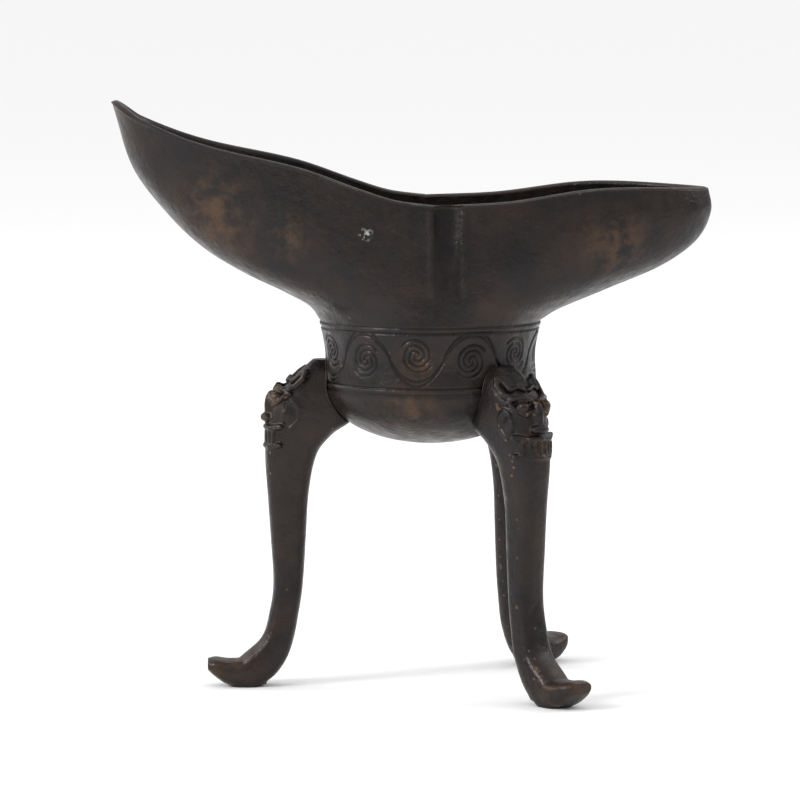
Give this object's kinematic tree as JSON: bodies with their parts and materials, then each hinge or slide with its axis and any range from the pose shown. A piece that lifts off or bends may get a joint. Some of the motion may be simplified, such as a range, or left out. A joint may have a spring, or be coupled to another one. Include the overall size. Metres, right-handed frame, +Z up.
{
  "type": "jue",
  "caption": "Small archaistic bronze jue wine vessel: oval bowl with a rising spout and pointed tail on masked blade legs",
  "frame": {"origin": "middle of the bounding box's bottom, on the plane of the three soles", "axes": "+Z up from the soles, +X towards the tail with the spout at -X, +Y away from the side that the picture shows"},
  "size_m": [0.1529, 0.0928, 0.15],
  "materials": {
    "patinated_bronze": "dark brown-black patina, worn to golden brown on high edges",
    "bare_bronze": "plain cut bronze, hidden in the joint",
    "solder": "dull grey soft solder"
  },
  "bodies": {
    "root": {"bowl_casting": "patinated_bronze", "front_leg": "patinated_bronze", "rear_leg": "patinated_bronze", "spout_side_leg": "patinated_bronze", "front_leg_tenon": "bare_bronze", "rear_leg_tenon": "bare_bronze", "spout_side_leg_tenon": "bare_bronze", "front_leg_solder": "solder", "rear_leg_solder": "solder", "spout_side_leg_solder": "solder"}
  },
  "joints": []
}
